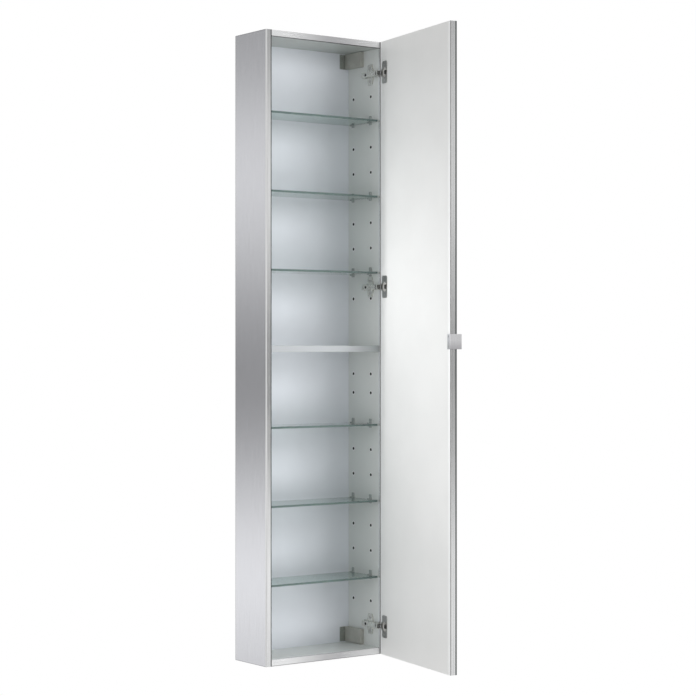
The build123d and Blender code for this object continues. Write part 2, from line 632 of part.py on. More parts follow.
for name, (edge, inward) in PROFILE_SIDES.items():
    with BuildPart() as edge_profile:
        with Locations(DOOR):
            block((edge, edge + inward * PROFILE_WALL), (MIRROR_BACK, BACK_FACE), FULL_HEIGHT)
            block((edge, edge + inward * PROFILE_LIP), (BACK_FACE - LIP_DEPTH, BACK_FACE), FULL_HEIGHT)
            for centre, width in GROOVES:
                groove = (centre - width / 2, centre + width / 2)
                block((edge, edge + inward * GROOVE_DEPTH), groove, FULL_HEIGHT, CUT)
        uprights = edge_profile.edges().filter_by(Axis.Z)
        corner = DOOR.from_local_coords(Vector(edge, BACK_FACE, 0))
        fillet(uprights.sort_by_distance(corner)[0], PROFILE_ROUND)
        if inward > 0:
            with Locations(DOOR_BACK):
                with Locations(*HANDLE_SCREW_PLACES):
                    Cylinder(HANDLE_SCREW["shank"], HANDLE_SCREW["length"], align=HIGH, mode=CUT)
    save(edge_profile, name)

# ---------------------------------------------------------------- handle

with BuildPart() as door_handle:
    span = (HANDLE_Z - HANDLE_HEIGHT / 2, HANDLE_Z + HANDLE_HEIGHT / 2)
    top = BACK_FACE + HANDLE_FLANGE_THICK
    with Locations(DOOR):
        block((FREE_EDGE - HANDLE_THICK, FREE_EDGE), (MIRROR_BACK - MIRROR - HANDLE_GRIP, top), span)
        block((FREE_EDGE - HANDLE_THICK, FREE_EDGE + HANDLE_FLANGE), (BACK_FACE, top), span)
    bend = DOOR.from_local_coords(Vector(FREE_EDGE - HANDLE_THICK, top, HANDLE_Z))
    fillet(door_handle.edges().filter_by(Axis.Z).sort_by_distance(bend)[0], HANDLE_FLANGE_THICK)
    with Locations(DOOR_BACK.offset(HANDLE_FLANGE_THICK)):
        with Locations(*HANDLE_SCREW_PLACES):
            screw_seat(**HANDLE_SCREW)
save(door_handle, "door_handle")

with BuildPart(DOOR_BACK.offset(HANDLE_FLANGE_THICK)) as handle_screws:
    with Locations(*HANDLE_SCREW_PLACES):
        screw(**HANDLE_SCREW)
save(handle_screws, "handle_screws")
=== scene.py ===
"""Tall mirror cabinet with its door open: materials, small trim, camera, studio light and floor.

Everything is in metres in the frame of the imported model: X to the right, Y towards the wall, Z up.
"""

import json
import math

import bmesh
import bpy
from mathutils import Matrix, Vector


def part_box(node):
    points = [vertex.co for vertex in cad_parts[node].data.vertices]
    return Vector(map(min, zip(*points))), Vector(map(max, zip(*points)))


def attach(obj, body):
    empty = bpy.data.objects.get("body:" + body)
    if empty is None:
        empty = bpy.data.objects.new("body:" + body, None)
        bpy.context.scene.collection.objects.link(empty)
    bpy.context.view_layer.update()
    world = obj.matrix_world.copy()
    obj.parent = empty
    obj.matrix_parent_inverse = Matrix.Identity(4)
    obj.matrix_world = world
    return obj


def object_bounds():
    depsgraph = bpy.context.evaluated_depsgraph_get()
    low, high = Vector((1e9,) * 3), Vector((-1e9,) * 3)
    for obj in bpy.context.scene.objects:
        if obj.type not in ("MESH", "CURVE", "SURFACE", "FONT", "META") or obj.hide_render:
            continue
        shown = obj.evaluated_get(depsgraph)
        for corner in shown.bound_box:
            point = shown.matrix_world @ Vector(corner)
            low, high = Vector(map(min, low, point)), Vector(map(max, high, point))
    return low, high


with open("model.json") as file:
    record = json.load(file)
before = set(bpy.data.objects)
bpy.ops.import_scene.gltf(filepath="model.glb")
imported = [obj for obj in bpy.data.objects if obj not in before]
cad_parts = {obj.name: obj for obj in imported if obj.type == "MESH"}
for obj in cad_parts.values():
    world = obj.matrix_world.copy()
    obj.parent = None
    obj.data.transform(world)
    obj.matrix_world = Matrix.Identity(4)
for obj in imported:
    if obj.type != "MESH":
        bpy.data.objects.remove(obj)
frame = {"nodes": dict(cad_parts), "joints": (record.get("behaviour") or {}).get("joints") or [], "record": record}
CAD_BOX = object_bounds()
NODES = frame["nodes"]

LOW, HIGH = CAD_BOX

MM = 0.001

# ---------------------------------------------------------------- measures read from the frame

SIDE_LOW, SIDE_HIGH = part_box("right_side_panel")
OUTER_X = SIDE_HIGH.x
INNER_X = SIDE_LOW.x
PANEL_REAR = SIDE_HIGH.y
BOARD_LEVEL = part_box("top_front_edge")[0].z
FRONT_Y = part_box("left_front_edge")[0].y
CROSS_LOWS = [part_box(name)[0].z for name in ("top_front_edge", "bottom_front_edge")]
SHELF_MIDDLE = sum(corner.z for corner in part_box("middle_shelf_edge")) / 2
ARM_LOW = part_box("hinge_arms")[0]
ARM_SCREW_MIDDLE = sum(corner.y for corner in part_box("hinge_arm_screws")) / 2
MOUNTS = {mount["name"]: mount for mount in frame["record"]["mounts"]}
WALL_HOLES = MOUNTS["wall_screw_holes"]["dims"]

# The door stands open at rest: closed is the low end of its joint.
SWING = next(joint for joint in frame["joints"] if joint["name"] == "door_swing")
REST_ANGLE = -math.radians(SWING["range_deg"][0])
DOOR_NORMAL = Vector((math.sin(REST_ANGLE), -math.cos(REST_ANGLE), 0))


def levels(name, gap=50 * MM):
    """The middle heights of a node's solids, which stand clear of each other by more than the gap."""
    groups = []
    for height in sorted(vertex.co.z for vertex in NODES[name].data.vertices):
        if not groups or height - groups[-1][-1] > gap:
            groups.append([])
        groups[-1].append(height)
    return [(group[0] + group[-1]) / 2 for group in groups]


# ---------------------------------------------------------------- node graph helpers


class Graph:
    """A material's node tree, with short calls for the nodes used here."""

    def __init__(self, name):
        self.material = bpy.data.materials.new(name)
        self.material.use_nodes = True
        self.tree = self.material.node_tree
        self.tree.nodes.clear()
        self.shader = self.add("ShaderNodeBsdfPrincipled")
        output = self.add("ShaderNodeOutputMaterial")
        self.tree.links.new(self.shader.outputs["BSDF"], output.inputs["Surface"])
        self.place = self.add("ShaderNodeTexCoord").outputs["Object"]

    def add(self, kind, **settings):
        node = self.tree.nodes.new(kind)
        for key, value in settings.items():
            setattr(node, key, value)
        return node

    def feed(self, socket, value):
        if isinstance(value, bpy.types.NodeSocket):
            self.tree.links.new(value, socket)
        else:
            socket.default_value = value

    def set(self, **sockets):
        """Sets or links the shader's sockets: names are written with _ for spaces."""
        for key, value in sockets.items():
            self.feed(self.shader.inputs[key.replace("_", " ")], value)

    def scaled(self, scale):
        """The piece's own coordinates, stretched by a scale on each axis."""
        node = self.add("ShaderNodeMapping")
        self.feed(node.inputs["Vector"], self.place)
        node.inputs["Scale"].default_value = scale
        return node.outputs["Vector"]

    def noise(self, scale, detail=3.0, rough=0.5, vector=None):
        node = self.add("ShaderNodeTexNoise")
        self.feed(node.inputs["Vector"], vector or self.place)
        node.inputs["Scale"].default_value = scale
        node.inputs["Detail"].default_value = detail
        node.inputs["Roughness"].default_value = rough
        return node.outputs["Fac"]

    def cells(self, scale, output="Distance", vector=None):
        node = self.add("ShaderNodeTexVoronoi")
        self.feed(node.inputs["Vector"], vector or self.place)
        node.inputs["Scale"].default_value = scale
        return node.outputs[output]

    def math(self, operation, *values, clamp=False):
        node = self.add("ShaderNodeMath", operation=operation, use_clamp=clamp)
        for socket, value in zip(node.inputs, values):
            self.feed(socket, value)
        return node.outputs[0]

    def ramp(self, value, low, high, out_low=0.0, out_high=1.0):
        """value from low..high taken to out_low..out_high, clamped."""
        node = self.add("ShaderNodeMapRange")
        for name, number in (
            ("Value", value),
            ("From Min", low),
            ("From Max", high),
            ("To Min", out_low),
            ("To Max", out_high),
        ):
            self.feed(node.inputs[name], number)
        return node.outputs["Result"]

    def even(self, noise, out_low=0.0, out_high=1.0):
        """The middle range of a noise taken to out_low..out_high, clamped."""
        return self.ramp(noise, NOISE_LOW, NOISE_HIGH, out_low, out_high)

    def mix(self, factor, first, second):
        """Colour mix of two colours or colour sockets."""
        node = self.add("ShaderNodeMix", data_type="RGBA")
        self.feed(node.inputs["Factor"], factor)
        for socket, colour in ((node.inputs[6], first), (node.inputs[7], second)):
            self.feed(socket, colour if isinstance(colour, bpy.types.NodeSocket) else (*colour, 1.0))
        return node.outputs[2]

    def axes(self, vector=None):
        """The three numbers of a vector, by default the piece's own coordinates."""
        node = self.add("ShaderNodeSeparateXYZ")
        self.feed(node.inputs[0], vector or self.place)
        return node.outputs

    def normal(self):
        """The piece's own normal, which turns with the piece."""
        node = self.add("ShaderNodeTexCoord")
        return node.outputs["Normal"]

    def facing(self, direction):
        """How far the surface faces a direction in the piece's own frame, -1 to 1."""
        node = self.add("ShaderNodeVectorMath", operation="DOT_PRODUCT")
        self.feed(node.inputs[0], self.normal())
        node.inputs[1].default_value = direction
        return node.outputs["Value"]

    def along(self, direction):
        """How far the surface lies along a direction in the piece's own frame, in metres."""
        node = self.add("ShaderNodeVectorMath", operation="DOT_PRODUCT")
        self.feed(node.inputs[0], self.place)
        node.inputs[1].default_value = direction
        return node.outputs["Value"]

    def bump(self, height, strength, distance, base=None):
        node = self.add("ShaderNodeBump")
        self.feed(node.inputs["Height"], height)
        node.inputs["Strength"].default_value = strength
        node.inputs["Distance"].default_value = distance
        if base is not None:
            self.feed(node.inputs["Normal"], base)
        return node.outputs["Normal"]


def inward_and_lowest(name):
    """The door's outward direction in a piece's own frame, and the piece's least distance along it."""
    piece = NODES[name]
    inward = (piece.matrix_world.to_3x3().inverted() @ DOOR_NORMAL).normalized()
    return inward, min(vertex.co.dot(inward) for vertex in piece.data.vertices)


def spread(colour, amount):
    """A colour a little lighter or darker, for variation."""
    return tuple(min(1.0, channel * amount) for channel in colour)


# ---------------------------------------------------------------- lines and fades on the materials

# The range of a noise in which nearly all its values lie.
NOISE_LOW = 0.3
NOISE_HIGH = 0.7

# A point this near a face counts as on it.
FACE_DEPTH = 0.5 * MM
HOLE_DEPTH = 0.3 * MM

# Dark seam round the silver face of a side panel: its width, and where it reaches full tone.
SEAM_WIDTH = 1.4 * MM
SEAM_CORE = 0.4 * SEAM_WIDTH

# Painted shadow line on the lower lip of the cross profiles, and the middle stretch where their painted reflection
# is dulled.
LIP_LINE = 1.6 * MM
LIP_CORE = 0.6 * LIP_LINE
DULL_MIDDLE = 20 * MM
DULL_CORE = 20 * MM
DULL_REACH = 140 * MM

# Painted shadow line in the gap along the front profiles: its distance from the inner border, half width and fade.
BORDER_LINE = 1.6 * MM
BORDER_HALF = 1.0 * MM
BORDER_FADE = 1.3 * MM

# Painted shade line beside the lip of the door profiles.
LIP_SHADE_WIDTH = 1.5 * MM
LIP_SHADE_FADE = 1.3 * LIP_SHADE_WIDTH

# Painted shadow of the door on the fixed shelf's edging: it darkens between these two distances to the right of
# the middle.
EDGING_UNSHADOWED_TO = 60 * MM
EDGING_SHADOWED_FROM = 150 * MM

# The lower share of the handle's height that is shaded.
SHADED_SHARE = 0.6

# The bowl of a hinge cup starts between these two depths below its flange; there the colour is painted lighter.
BOWL_FROM = 1.5 * MM
BOWL_FULL = 2.0 * MM

GLASS_IOR = 1.52
PLASTIC_IOR = 1.49

# How finely brushed streaks change across the grain and along it.
GRAIN_UPRIGHT = (1500.0, 1500.0, 22.0)
GRAIN_LEVEL = (22.0, 1500.0, 1500.0)
ROLLED = (700.0, 700.0, 90.0)

# ---------------------------------------------------------------- colours

MELAMINE = (0.77, 0.79, 0.775)
DOOR_WHITE = (0.83, 0.83, 0.82)
BACK_WHITE = (0.82, 0.85, 0.905)
SILVER = (0.795, 0.80, 0.835)
ALUMINIUM = (0.86, 0.865, 0.87)
HINGE_STEEL = (0.66, 0.665, 0.62)
NICKEL = (0.44, 0.435, 0.415)
GREY_PLASTIC = (0.42, 0.42, 0.385)
ZINC = (0.34, 0.36, 0.33)
SCREW = (0.55, 0.54, 0.52)
GLASS_TINT = (0.57, 0.70, 0.66)
GLASS_EDGE = (0.16, 0.23, 0.22)
HANDLE = (0.70, 0.70, 0.71)
HANDLE_SHADE = (0.46, 0.455, 0.47)
# Near-black painted shade inside the drilled holes.
HOLE_SHADE = (0.012, 0.012, 0.012)
SEAM_DARK = (0.30, 0.30, 0.31)
# Near-black painted shade, for the lower lip of the cross profiles and the underside of the handle.
PAINTED_SHADE_DARK = (0.06, 0.06, 0.06)
# Painted shade in the gap beside the front profiles, and deeper shade beside the end boards.
BORDER_SHADE = (0.07, 0.07, 0.07)
JOINT_SHADE = (0.015, 0.015, 0.015)
# Painted shade beside the lip of the door profiles.
LIP_SHADE_DARK = (0.16, 0.16, 0.16)
# Tone of the painted door shadow on the shelf edging.
EDGING_SHADE = (0.36, 0.385, 0.39)
LIP_WHITE = (0.95, 0.95, 0.95)
# Darker copy of the melamine: painted shade on the cabinet's ceiling.
CEILING_SHADE = (0.50, 0.52, 0.50)
EDGING = (0.53, 0.555, 0.575)
LINK_STEEL = (0.15, 0.15, 0.145)
# Pale matt colour painted into the cup's bowl as painted light.
PAINTED_LIGHT_BOWL = (0.80, 0.80, 0.78)
# Tone where the cross profiles' painted reflection is dulled.
DULL_REFLECTION_TONE = (0.50, 0.50, 0.51)
HARDBOARD_DARK = (0.15, 0.088, 0.045)
HARDBOARD_PALE = (0.33, 0.215, 0.12)
SUPPORT_SMOKY = (0.58, 0.62, 0.61)
SUPPORT_CLEAR = (0.70, 0.74, 0.73)
BEECH_DARK = (0.56, 0.36, 0.20)
BEECH_PALE = (0.72, 0.52, 0.33)
BEECH_FLECK = (0.30, 0.17, 0.09)
REAR_SCREW_BLACK = (0.008, 0.008, 0.008)
REAR_SCREW_BLACK_WORN = (0.02, 0.02, 0.02)
MIRROR_SILVER = (0.88, 0.91, 0.905)
MIRROR_PAINT = (0.18, 0.19, 0.19)
MIRROR_EDGE_DARK = (0.018, 0.024, 0.022)
MIRROR_EDGE_PALE = (0.040, 0.052, 0.048)
FOAM_DARK = (0.035, 0.035, 0.035)
FOAM_PALE = (0.08, 0.08, 0.08)
HOLE_LIP = (0.96, 0.97, 0.96)
HOLE_LIP_CHIPPED = (0.88, 0.89, 0.88)
# Near black of the pieces that paint shade in the holes and slots.
PAINTED_SHADE_BLACK = (0.006, 0.006, 0.006)
PAINTED_SHADE_BLACK_SCUFFED = (0.02, 0.02, 0.02)
FLOOR_LOW = (0.86, 0.86, 0.855)
FLOOR_HIGH = (0.90, 0.90, 0.895)

# ---------------------------------------------------------------- materials


def melamine(graph, colour):
    """Foil-faced board: faint clouding, a very fine pearl texture and satin gloss."""
    cloud = graph.noise(5.0, 4.0, 0.55)
    grain = graph.noise(900.0, 2.0, 0.6)
    tone = graph.mix(graph.ramp(cloud, 0.35, 0.65), spread(colour, 0.975), spread(colour, 1.02))
    graph.set(
        Base_Color=tone,
        Roughness=graph.even(graph.noise(60.0, 3.0), 0.34, 0.42),
        Normal=graph.bump(grain, 0.12, 0.03 * MM),
    )
    return tone


def brushed(graph, colour, scale, roughness, metallic=1.0):
    """Brushed metal: streaks along one axis, with broad tone changes and a light drag of scratches."""
    streaks = graph.noise(1.0, 4.0, 0.65, graph.scaled(scale))
    mixed = graph.math("ADD", streaks, graph.noise(7.0, 3.0))
    tone = graph.mix(graph.even(streaks), spread(colour, 0.92), spread(colour, 1.04))
    graph.set(
        Base_Color=tone,
        Metallic=metallic,
        Roughness=graph.ramp(mixed, 0.7, 1.3, roughness - 0.05, roughness + 0.06),
        Normal=graph.bump(streaks, 0.18, 0.02 * MM),
    )
    return tone


def make_silver_board():
    """Side panel: silver foil outside with a dark seam round it, pale melamine inside."""
    graph = Graph("silver_side_board")
    across = graph.math("ABSOLUTE", graph.axes()[0])
    outside = graph.math("GREATER_THAN", across, OUTER_X - FACE_DEPTH)
    fibres = graph.noise(1.0, 3.0, 0.6, graph.scaled((900.0, 900.0, 14.0)))
    cloud = graph.noise(4.0, 4.0, 0.55)
    silver = graph.mix(graph.even(fibres), spread(SILVER, 0.93), spread(SILVER, 1.03))
    pale = graph.mix(graph.ramp(cloud, 0.35, 0.65), spread(MELAMINE, 0.97), spread(MELAMINE, 1.02))
    grain = graph.noise(900.0, 2.0, 0.6)
    height = graph.math("MULTIPLY", graph.math("ADD", fibres, grain), 0.5)
    # Painted shade: surfaces inside the board, such as the walls of the drilled holes, are coloured near black.
    place = graph.axes()
    up = graph.math("ABSOLUTE", place[2])
    in_hole_shade = graph.math("GREATER_THAN", across, INNER_X + HOLE_DEPTH)
    for inside in (
        graph.math("LESS_THAN", across, OUTER_X - FACE_DEPTH),
        graph.math("LESS_THAN", up, HIGH.z - FACE_DEPTH),
        graph.math("LESS_THAN", place[1], PANEL_REAR - FACE_DEPTH),
        graph.math("GREATER_THAN", place[1], SIDE_LOW.y + FACE_DEPTH),
    ):
        in_hole_shade = graph.math("MULTIPLY", in_hole_shade, inside)
    rear = graph.ramp(place[1], PANEL_REAR - SEAM_WIDTH, PANEL_REAR - SEAM_CORE)
    end = graph.ramp(up, HIGH.z - SEAM_WIDTH, HIGH.z - SEAM_CORE)
    seam = graph.math("MULTIPLY", graph.math("MAXIMUM", rear, end), outside)
    faced = graph.mix(seam, graph.mix(outside, pale, silver), SEAM_DARK)
    graph.set(
        Base_Color=graph.mix(in_hole_shade, faced, HOLE_SHADE),
        Metallic=outside,
        Roughness=graph.ramp(outside, 0.0, 1.0, 0.40, 0.19),
        Normal=graph.bump(height, 0.12, 0.03 * MM),
    )
    return graph.material


def make_white_board(name, colour):
    """Board faced with melamine on every side."""
    graph = Graph(name)
    melamine(graph, colour)
    return graph.material


def make_edging():
    """Edging of the fixed shelf: pale, with a painted shadow of the door darkening it towards the hinge side."""
    graph = Graph("pale_shelf_edging")
    tone = melamine(graph, EDGING)
    # Painted shadow of the door towards the hinge side.
    dull = graph.ramp(graph.axes()[0], EDGING_UNSHADOWED_TO, EDGING_SHADOWED_FROM)
    graph.set(Base_Color=graph.mix(dull, tone, EDGING_SHADE))
    return graph.material


def make_back_board():
    """Back panel: painted inside, brown hardboard with matted fibres on the wall side."""
    graph = Graph("back_board")
    cloud = graph.noise(5.0, 4.0, 0.55)
    painted = graph.mix(graph.ramp(cloud, 0.35, 0.65), spread(BACK_WHITE, 0.97), spread(BACK_WHITE, 1.02))
    wall_side = graph.math("GREATER_THAN", graph.facing((0.0, 1.0, 0.0)), 0.5)
    fibre = graph.noise(1.0, 5.0, 0.7, graph.scaled((420.0, 60.0, 130.0)))
    brown = graph.mix(graph.even(fibre), HARDBOARD_DARK, HARDBOARD_PALE)
    graph.set(
        Base_Color=graph.mix(wall_side, painted, brown),
        Roughness=graph.ramp(wall_side, 0.0, 1.0, 0.42, 0.85),
        Normal=graph.bump(fibre, 0.15, 0.06 * MM),
    )
    return graph.material


def make_front_aluminium():
    """Front edges of the sides: satin, with a painted shadow line inside that is darkest beside the end boards."""
    graph = Graph("brushed_aluminium_front")
    tone = brushed(graph, ALUMINIUM, GRAIN_UPRIGHT, 0.14)
    across = graph.math("ABSOLUTE", graph.axes()[0])
    off_line = graph.math("ABSOLUTE", graph.math("SUBTRACT", across, INNER_X + BORDER_LINE))
    line = graph.ramp(off_line, BORDER_HALF, BORDER_FADE, 1.0, 0.0)
    up = graph.math("ABSOLUTE", graph.axes()[2])
    at_board = graph.ramp(up, BOARD_LEVEL - FACE_DEPTH, BOARD_LEVEL)
    # Painted gap shade, deepest where the end boards meet the profile.
    dark = graph.mix(at_board, BORDER_SHADE, JOINT_SHADE)
    graph.set(Base_Color=graph.mix(line, tone, dark))
    return graph.material


def make_door_aluminium(name):
    """Door profile: satin edge, a pale anodised lip on the inner face and a painted shade line beside it."""
    inward, lip_level = inward_and_lowest(name)
    graph = Graph(f"brushed_aluminium_{name}")
    tone = brushed(graph, ALUMINIUM, GRAIN_UPRIGHT, 0.22)
    lip = graph.ramp(graph.facing(tuple(-inward)), 0.5, 0.7)
    depth = graph.math("SUBTRACT", graph.along(inward), lip_level)
    # Painted shade along the edge beside the lip.
    lip_shade = graph.ramp(depth, LIP_SHADE_WIDTH, LIP_SHADE_FADE, 1.0, 0.0)
    lip_shaded = graph.mix(lip_shade, tone, LIP_SHADE_DARK)
    graph.set(Base_Color=graph.mix(lip, lip_shaded, LIP_WHITE), Metallic=graph.ramp(lip, 0.0, 1.0, 1.0, 0.0))
    return graph.material


def make_cross_aluminium():
    """Cross profile: a painted reflection, duller in the middle than at the ends, with a painted shadow line as
    its lower lip.
    """
    graph = Graph("brushed_aluminium_cross")
    bright = brushed(graph, ALUMINIUM, GRAIN_LEVEL, 0.24, 0.4)
    across, _, height = graph.axes()
    # Painted reflection: bright at the ends, dulled in the middle.
    off_middle = graph.math("ABSOLUTE", graph.math("SUBTRACT", across, DULL_MIDDLE))
    dull = graph.ramp(off_middle, DULL_CORE, DULL_REACH, 1.0, 0.0)
    tone = graph.mix(dull, bright, DULL_REFLECTION_TONE)
    # Painted shadow line along the lower lip, which faces down.
    line = 0.0
    for low in CROSS_LOWS:
        away = graph.math("ABSOLUTE", graph.math("SUBTRACT", height, low))
        line = graph.math("MAXIMUM", line, graph.ramp(away, LIP_CORE, LIP_LINE, 1.0, 0.0))
    graph.set(Base_Color=graph.mix(line, tone, PAINTED_SHADE_DARK))
    return graph.material


def make_glass():
    """Float glass: lightly tinted through its faces, deep grey-green at its ground edges."""
    graph = Graph("shelf_float_glass")
    flat = graph.math("ABSOLUTE", graph.facing((0.0, 0.0, 1.0)))
    edge = graph.ramp(flat, 0.6, 0.95, 1.0, 0.0)
    ground = graph.noise(700.0, 2.0)
    green = graph.mix(graph.even(ground), spread(GLASS_EDGE, 0.85), spread(GLASS_EDGE, 1.15))
    graph.set(
        Base_Color=graph.mix(edge, GLASS_TINT, green),
        Transmission_Weight=graph.ramp(edge, 0.0, 1.0, 0.88, 0.35),
        IOR=GLASS_IOR,
        Roughness=graph.ramp(edge, 0.0, 1.0, 0.02, 0.22),
        Normal=graph.bump(graph.noise(24.0, 2.0), 0.04, 0.05 * MM),
    )
    return graph.material


def make_clear_plastic():
    """Moulded polycarbonate shelf support, slightly smoky and rippled."""
    graph = Graph("clear_support_plastic")
    ripple = graph.noise(260.0, 2.0)
    graph.set(
        Base_Color=graph.mix(graph.even(ripple), SUPPORT_SMOKY, SUPPORT_CLEAR),
        Transmission_Weight=0.35,
        IOR=PLASTIC_IOR,
        Roughness=graph.even(ripple, 0.18, 0.28),
        Normal=graph.bump(ripple, 0.2, 0.05 * MM),
    )
    return graph.material


def make_beech():
    """Fluted beech dowel: long grain along X with small dark flecks."""
    graph = Graph("beech_dowel")
    grain = graph.noise(1.0, 5.0, 0.6, graph.scaled((60.0, 900.0, 900.0)))
    pores = graph.cells(1.0, vector=graph.scaled((250.0, 1600.0, 1600.0)))
    fleck = graph.ramp(pores, 0.0, 0.25, 1.0, 0.0)
    wood = graph.mix(graph.even(grain), BEECH_DARK, BEECH_PALE)
    graph.set(
        Base_Color=graph.mix(graph.math("MULTIPLY", fleck, 0.5), wood, BEECH_FLECK),
        Roughness=graph.even(grain, 0.55, 0.7),
        Normal=graph.bump(grain, 0.4, 0.1 * MM),
    )
    return graph.material


def make_screw_steel():
    """Zinc-plated steel: soft mottling in tone and gloss, and a very fine grain."""
    graph = Graph("zinc_plated_screw_steel")
    mottle = graph.noise(380.0, 3.0)
    fine = graph.noise(2600.0, 2.0)
    graph.set(
        Base_Color=graph.mix(graph.even(mottle), spread(SCREW, 0.75), spread(SCREW, 1.15)),
        Metallic=1.0,
        Roughness=graph.even(mottle, 0.26, 0.42),
        Normal=graph.bump(fine, 0.2, 0.03 * MM),
    )
    return graph.material


def make_cup():
    """Hinge cup: nickel-plated flange, with the bowl let into the door painted pale and matt, painted light over
    what is nickel in shade.
    """
    inward, flange = inward_and_lowest("hinge_cups")
    graph = Graph("nickel_plated_cup")
    streaks = graph.noise(1.0, 3.0, 0.6, graph.scaled(ROLLED))
    depth = graph.math("SUBTRACT", graph.along(inward), flange)
    # Painted light: the bowl is lightened against its shade.
    bowl = graph.ramp(depth, BOWL_FROM, BOWL_FULL)
    tone = graph.mix(graph.even(streaks), spread(NICKEL, 0.92), spread(NICKEL, 1.06))
    graph.set(
        Base_Color=graph.mix(bowl, tone, PAINTED_LIGHT_BOWL),
        Metallic=graph.ramp(bowl, 0.0, 1.0, 1.0, 0.0),
        Roughness=graph.even(streaks, 0.24, 0.36),
        Normal=graph.bump(streaks, 0.12, 0.02 * MM),
    )
    return graph.material


def make_arm_screw():
    """Hinge arm screws: the rear one coloured near black, the front one plated."""
    graph = Graph("hinge_arm_screw_steel")
    mottle = graph.noise(380.0, 3.0)
    plated = graph.mix(graph.even(mottle), spread(HINGE_STEEL, 0.85), spread(HINGE_STEEL, 1.1))
    black = graph.mix(graph.even(mottle), REAR_SCREW_BLACK, REAR_SCREW_BLACK_WORN)
    rear = graph.math("GREATER_THAN", graph.axes()[1], ARM_SCREW_MIDDLE)
    graph.set(
        Base_Color=graph.mix(rear, plated, black),
        Metallic=graph.ramp(rear, 0.0, 1.0, 0.9, 0.1),
        Roughness=graph.even(mottle, 0.30, 0.45),
        Normal=graph.bump(graph.noise(2600.0, 2.0), 0.2, 0.03 * MM),
    )
    return graph.material


def make_grey_plastic():
    """Moulded hanger housing: fine spark-eroded texture, with rubbed paler patches."""
    graph = Graph("grey_hanger_plastic")
    texture = graph.cells(1500.0)
    rubbed = graph.noise(45.0, 4.0, 0.6)
    graph.set(
        Base_Color=graph.mix(graph.ramp(rubbed, 0.4, 0.75), GREY_PLASTIC, spread(GREY_PLASTIC, 1.18)),
        Roughness=graph.even(rubbed, 0.42, 0.55),
        Normal=graph.bump(texture, 0.25, 0.06 * MM),
    )
    return graph.material


def make_galvanised():
    """Galvanised sheet: zinc crystals a few millimetres across, each with its own tone and gloss."""
    graph = Graph("galvanised_sheet")
    crystals = graph.add("ShaderNodeSeparateColor")
    graph.feed(crystals.inputs[0], graph.cells(380.0, "Color"))
    tone = crystals.outputs[0]
    graph.set(
        Base_Color=graph.mix(tone, spread(ZINC, 0.86), spread(ZINC, 1.12)),
        Metallic=0.25,
        Roughness=graph.ramp(tone, 0.0, 1.0, 0.32, 0.55),
        Normal=graph.bump(graph.noise(900.0, 3.0), 0.15, 0.04 * MM),
    )
    return graph.material


def make_nickel(name, colour, metallic):
    """Nickel-plated pressings: soft roller streaks in tone, and fingermarks in the gloss."""
    graph = Graph(name)
    streaks = graph.noise(1.0, 3.0, 0.6, graph.scaled(ROLLED))
    marks = graph.noise(110.0, 4.0, 0.6)
    tone = graph.mix(graph.even(streaks), spread(colour, 0.92), spread(colour, 1.06))
    graph.set(
        Base_Color=tone,
        Metallic=metallic,
        Roughness=graph.ramp(marks, 0.35, 0.7, 0.22, 0.36),
        Normal=graph.bump(streaks, 0.12, 0.02 * MM),
    )
    return graph.material


def make_mirror():
    """Silvered glass: bright mirror on the front, grey-green glass edges, painted back."""
    graph = Graph("door_mirror_glass")
    front = graph.facing(tuple(DOOR_NORMAL))
    mirror = graph.ramp(front, 0.9, 0.98)
    back = graph.ramp(front, -0.98, -0.9, 1.0, 0.0)
    ground = graph.noise(600.0, 2.0)
    edge = graph.mix(graph.even(ground), MIRROR_EDGE_DARK, MIRROR_EDGE_PALE)
    dull = graph.mix(back, edge, MIRROR_PAINT)
    graph.set(
        Base_Color=graph.mix(mirror, dull, MIRROR_SILVER),
        Metallic=mirror,
        Roughness=graph.ramp(mirror, 0.0, 1.0, 0.22, 0.012),
        Normal=graph.bump(graph.noise(9.0, 2.0), 0.02, 0.02 * MM),
    )
    return graph.material


def make_adhesive():
    """Bonding tape between glass and board: dark foam with an open skin."""
    graph = Graph("mirror_bonding_foam")
    foam = graph.cells(1800.0)
    graph.set(
        Base_Color=graph.mix(graph.ramp(foam, 0.1, 0.6), FOAM_DARK, FOAM_PALE),
        Roughness=graph.ramp(foam, 0.1, 0.6, 0.7, 0.9),
        Normal=graph.bump(foam, 0.4, 0.1 * MM),
    )
    return graph.material


def make_handle():
    """Satin anodised handle, brushed along its height, with painted shade towards its foot and underneath."""
    graph = Graph("satin_anodised_handle")
    tone = brushed(graph, HANDLE, (1600.0, 1600.0, 30.0), 0.30, 0.5)
    low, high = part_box("door_handle")
    foot = graph.ramp(graph.axes()[2], low.z, low.z + SHADED_SHARE * (high.z - low.z), 1.0, 0.0)
    # Painted shade on the faces that look down.
    under = graph.ramp(graph.facing((0.0, 0.0, -1.0)), 0.2, 0.6)
    shaded = graph.mix(foot, tone, HANDLE_SHADE)
    graph.set(Base_Color=graph.mix(under, shaded, PAINTED_SHADE_DARK))
    return graph.material


def make_rim():
    """Chipped pale lip of a drilled hole in foiled board."""
    graph = Graph("drilled_hole_lip")
    chips = graph.noise(1400.0, 3.0, 0.7)
    graph.set(
        Base_Color=graph.mix(graph.even(chips), HOLE_LIP_CHIPPED, HOLE_LIP),
        Roughness=graph.even(chips, 0.5, 0.7),
        Normal=graph.bump(chips, 0.4, 0.08 * MM),
    )
    return graph.material


